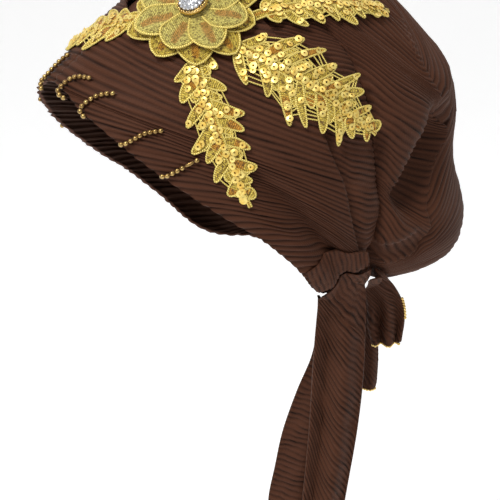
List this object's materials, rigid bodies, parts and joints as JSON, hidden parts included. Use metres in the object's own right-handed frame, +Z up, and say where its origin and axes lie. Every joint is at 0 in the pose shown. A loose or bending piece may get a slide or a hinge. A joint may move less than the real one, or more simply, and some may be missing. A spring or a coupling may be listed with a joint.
{
  "type": "pleated turban",
  "caption": "Pre-tied pleated turban with a visor-like front band, puffed back, side knot with hanging ends, gold lace flower and short bead strings at the rim.",
  "frame": {"origin": "middle of the head opening, where the middle of the wearer's head sits", "axes": "+Z up, -Y towards the wearer's face, +X towards the wearer's left"},
  "size_m": [0.1773, 0.2506, 0.3375],
  "materials": {
    "pleated_cloth": "dark brown crinkle-pleated cloth, soft sheen",
    "pleated_cloth_shaded": "the same cloth, under side",
    "gold_lace": "gold machine-embroidered lace with small sequins",
    "gold_lace_pale": "pale gold satin stitch",
    "antique_beads": "antique brass beads",
    "bezel_metal": "gold-coloured cup",
    "clear_stones": "clear pave stones"
  },
  "bodies": {
    "root": {"crown": "pleated_cloth", "front_band": "pleated_cloth", "knot": "pleated_cloth", "tail_long_front": "pleated_cloth", "tail_long_inner": "pleated_cloth", "tail_short": "pleated_cloth", "tail_under": "pleated_cloth_shaded", "frond_front": "gold_lace", "frond_side": "gold_lace", "frond_side_back": "gold_lace", "frond_back": "gold_lace", "frond_top": "gold_lace", "petals_lower": "gold_lace", "petals_upper": "gold_lace_pale", "bezel": "bezel_metal", "stones": "clear_stones", "beads_right_1": "antique_beads", "beads_centre": "antique_beads", "beads_left_1": "antique_beads", "beads_left_2": "antique_beads", "beads_left_3": "antique_beads", "beads_right_2": "antique_beads", "beads_right_3": "antique_beads"}
  },
  "joints": []
}
